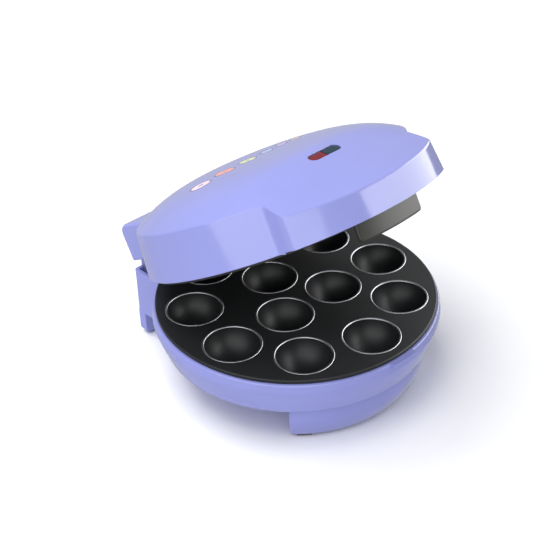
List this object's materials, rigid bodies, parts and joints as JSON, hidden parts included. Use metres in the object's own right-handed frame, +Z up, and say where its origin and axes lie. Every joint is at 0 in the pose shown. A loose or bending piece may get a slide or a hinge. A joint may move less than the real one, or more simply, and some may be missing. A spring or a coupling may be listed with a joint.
{
  "type": "donut maker",
  "caption": "Electric table-top maker of round cakes: a hinged domed lid with a grip and latch over a round cavity plate on a base.",
  "frame": {"origin": "middle of the footprint of the bounding box with the lid at rest, on the bench", "axes": "+Z up, +Y to the hinge, -Y to the grip, X across"},
  "size_m": [0.2052, 0.227, 0.1875],
  "materials": {
    "lavender_plastic": "glossy moulded ABS",
    "nonstick_coating": "satin black non-stick coating on cast aluminium",
    "plated_steel": "bright zinc plated",
    "aluminium_sheet": "mill finish sheet",
    "heater_sheath": "heat-dulled sheath",
    "steatite": "unglazed electrical ceramic",
    "black_plastic": "satin black moulding",
    "rubber": "matt",
    "natural_nylon": "natural",
    "red_lens": "clear red moulding",
    "green_lens": "clear blue-green moulding",
    "lamp_glass": "clear"
  },
  "bodies": {
    "base": {"base_shell": "lavender_plastic", "cord_gland": "black_plastic", "front_foot_pad_left": "rubber", "front_foot_pad_right": "rubber", "hinge_pin_left": "plated_steel", "hinge_pin_right": "plated_steel", "lower_cooking_plate": "nonstick_coating", "lower_heat_shield": "aluminium_sheet", "lower_heater": "heater_sheath", "lower_heater_terminal_left": "steatite", "lower_heater_terminal_right": "steatite", "lower_plate_screw_1": "plated_steel", "lower_plate_screw_2": "plated_steel", "lower_plate_screw_3": "plated_steel", "rear_foot_pad_left": "rubber", "rear_foot_pad_right": "rubber", "terminal_block": "natural_nylon"},
    "lid": {"fuse_clip": "plated_steel", "green_lamp": "lamp_glass", "green_lens": "green_lens", "lamp_holder": "natural_nylon", "latch_pin": "plated_steel", "latch_spring": "plated_steel", "lid_shell": "lavender_plastic", "red_lamp": "lamp_glass", "red_lens": "red_lens", "thermal_fuse": "plated_steel", "thermostat": "steatite", "upper_cooking_plate": "nonstick_coating", "upper_heat_shield": "aluminium_sheet", "upper_heater": "heater_sheath", "upper_heater_terminal_left": "steatite", "upper_heater_terminal_right": "steatite", "upper_plate_screw_1": "plated_steel", "upper_plate_screw_2": "plated_steel", "upper_plate_screw_3": "plated_steel"},
    "latch": {"latch": "black_plastic"}
  },
  "joints": [
    {"name": "lid_hinge", "type": "hinge", "parent": "base", "child": "lid", "pos_m": [0, 0.09703, 0.0748], "axis": [-1, 0, 0], "range_deg": [-28.8, 71.2]},
    {"name": "latch_pivot", "type": "hinge", "parent": "lid", "child": "latch", "pos_m": [0, -0.08664, 0.176], "axis": [-1, 0, 0], "range_deg": [0, 14], "stiffness_Nm_per_rad": 0.2, "springref_deg": -5.73}
  ]
}
